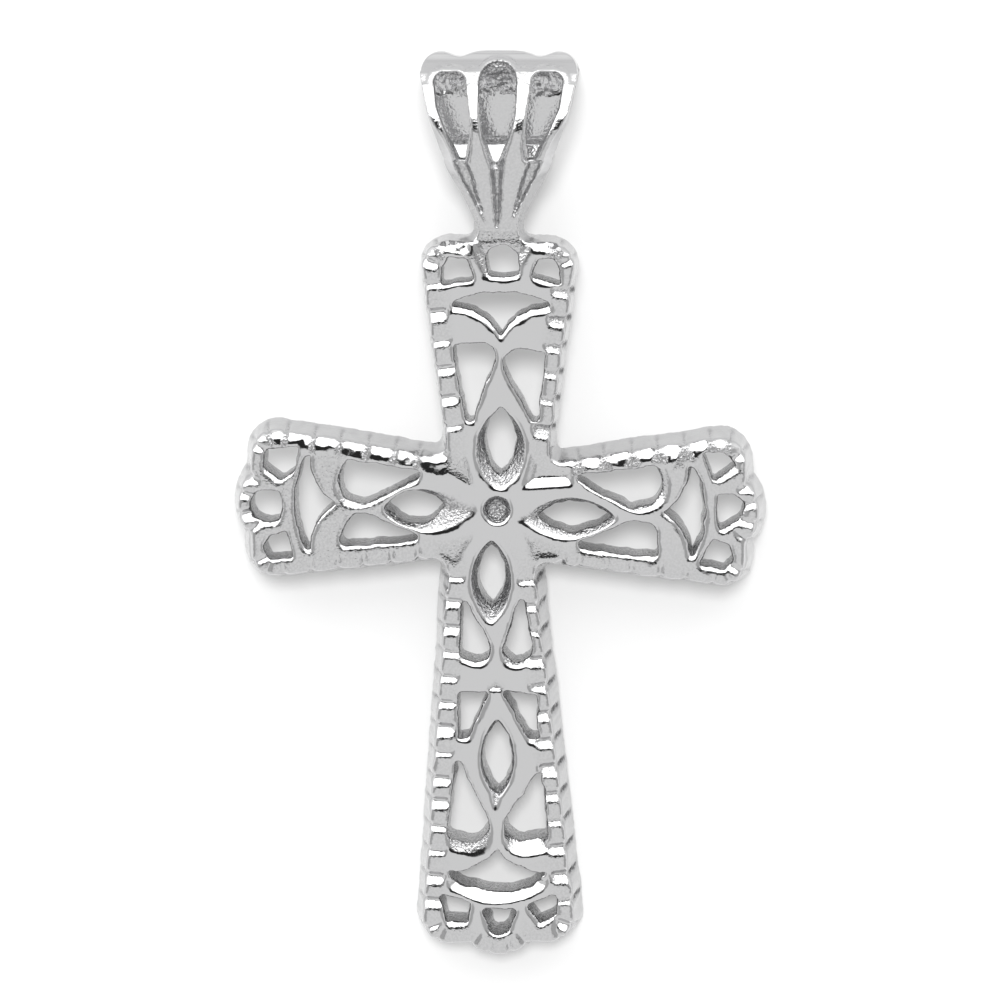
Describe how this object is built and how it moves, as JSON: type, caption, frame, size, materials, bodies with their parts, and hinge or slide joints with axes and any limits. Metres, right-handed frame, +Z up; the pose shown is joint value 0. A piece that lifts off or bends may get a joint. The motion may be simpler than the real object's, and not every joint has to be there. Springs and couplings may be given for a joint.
{
  "type": "cross pendant",
  "caption": "Pierced filigree cross pendant with a notched rim and a fluted, pierced bail for a chain.",
  "frame": {"origin": "on the surface the pendant lies on, under the middle of its outline box", "axes": "+Y from the foot of the cross to the bail, +Z up from the surface, +X to the right seen from the front"},
  "size_m": [0.0186, 0.0316, 0.0042],
  "materials": {
    "white_metal": "polished front, fine cast grain in the recesses"
  },
  "bodies": {
    "root": {"cross_pendant": "white_metal"}
  },
  "joints": []
}
